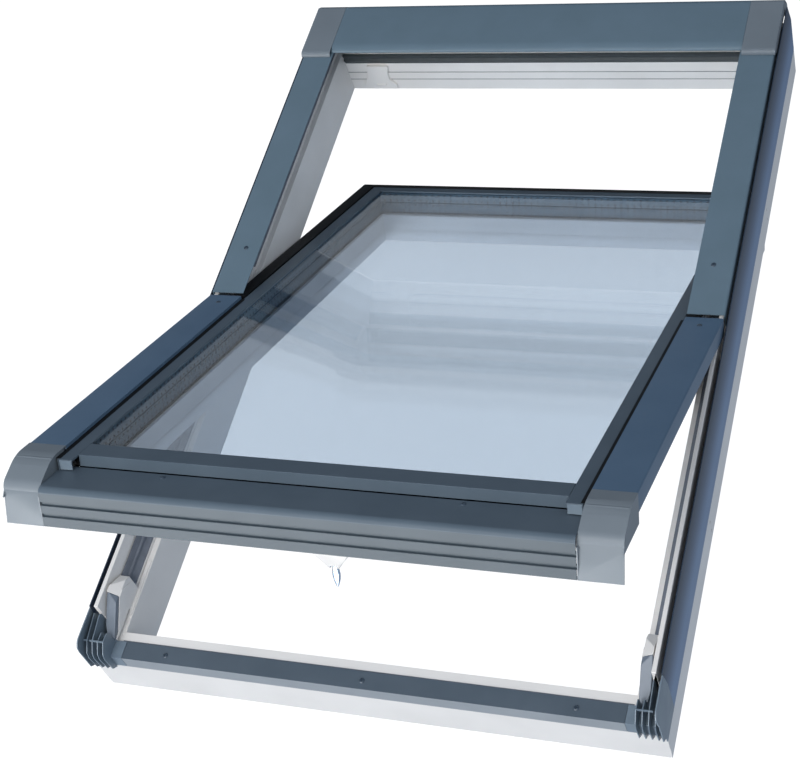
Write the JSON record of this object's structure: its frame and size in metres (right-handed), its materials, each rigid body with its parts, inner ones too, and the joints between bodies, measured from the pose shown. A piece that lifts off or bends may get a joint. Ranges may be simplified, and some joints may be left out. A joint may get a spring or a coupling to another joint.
{
  "type": "centre-pivot roof window",
  "caption": "Centre-pivot roof window standing open: frame with aluminium claddings and hood, triple-glazed sash on friction hinges, room-side handle that draws a latch bolt.",
  "frame": {"origin": "centre of the frame's room-side face, where the window meets the roof opening's lining", "axes": "+X across the window, +Y up the slope towards the hood, +Z out of the roof"},
  "size_m": [0.78, 1.209, 0.6507],
  "materials": {
    "slate_cladding": "satin slate-blue powder coat on aluminium",
    "light_cladding": "satin powder coat, a little lighter",
    "corner_plastic": "matte",
    "guide_plastic": "matte",
    "white_plastic": "smooth PVC-U, low sheen",
    "rubber": "matte",
    "grey_seal": "matte grey",
    "glass": "clear",
    "spacer_bar": "perforated satin bar",
    "galvanised_steel": "galvanised",
    "fitting_steel": "satin"
  },
  "bodies": {
    "frame": {"frame_top_rail": "white_plastic", "frame_bottom_rail": "white_plastic", "frame_left_stile": "white_plastic", "frame_right_stile": "white_plastic", "frame_top_steel": "galvanised_steel", "frame_bottom_steel": "galvanised_steel", "frame_left_steel": "galvanised_steel", "frame_right_steel": "galvanised_steel", "hood_panel": "slate_cladding", "hood_left_cap": "light_cladding", "hood_right_cap": "light_cladding", "hood_brackets": "galvanised_steel", "upper_left_cover": "slate_cladding", "upper_right_cover": "slate_cladding", "cover_clips": "rubber", "left_side_cladding": "slate_cladding", "right_side_cladding": "slate_cladding", "bottom_rail_cover": "slate_cladding", "left_corner_fins": "corner_plastic", "right_corner_fins": "corner_plastic", "left_guide_block": "guide_plastic", "right_guide_block": "guide_plastic", "left_guide_cap": "white_plastic", "right_guide_cap": "white_plastic", "lower_frame_seal": "grey_seal", "upper_frame_seal": "grey_seal", "left_frame_hinge": "fitting_steel", "right_frame_hinge": "fitting_steel", "frame_cover_screws": "fitting_steel", "top_stop_block": "white_plastic", "latch_keeper": "fitting_steel"},
    "sash": {"sash_top_rail": "white_plastic", "sash_bottom_rail": "white_plastic", "sash_left_stile": "white_plastic", "sash_right_stile": "white_plastic", "outer_pane": "glass", "middle_pane": "glass", "inner_pane": "glass", "outer_spacer": "spacer_bar", "inner_spacer": "spacer_bar", "edge_sealant": "rubber", "glazing_gasket": "rubber", "top_bead": "slate_cladding", "bottom_bead": "slate_cladding", "left_bead": "slate_cladding", "right_bead": "slate_cladding", "sash_outer_gasket": "rubber", "sash_left_cover": "slate_cladding", "sash_right_cover": "slate_cladding", "sash_left_cap": "light_cladding", "sash_right_cap": "light_cladding", "sash_front_cladding": "light_cladding", "sash_cover_screws": "fitting_steel", "left_sash_hinge": "fitting_steel", "right_sash_hinge": "fitting_steel", "handle_base": "white_plastic"},
    "handle": {"handle_lever": "fitting_steel"},
    "bolt": {"latch_bolt": "fitting_steel"}
  },
  "joints": [
    {"name": "sash_pivot", "type": "hinge", "parent": "frame", "child": "sash", "pos_m": [0, -0.013, 0.147], "axis": [-1, 0, 0], "range_deg": [-30.7, 112]},
    {"name": "handle_turn", "type": "hinge", "parent": "sash", "child": "handle", "pos_m": [0.0085, -0.51994, 0.29216], "axis": [-1, 0, 0], "range_deg": [-60, 0]},
    {"name": "bolt_slide", "type": "slide", "parent": "sash", "child": "bolt", "axis": [0, -0.8599, 0.5105], "range_m": [0, 0.0172]}
  ],
  "couplings": [
    {"joint": "bolt_slide", "follows": "handle_turn", "m_per_rad": -0.016232}
  ]
}
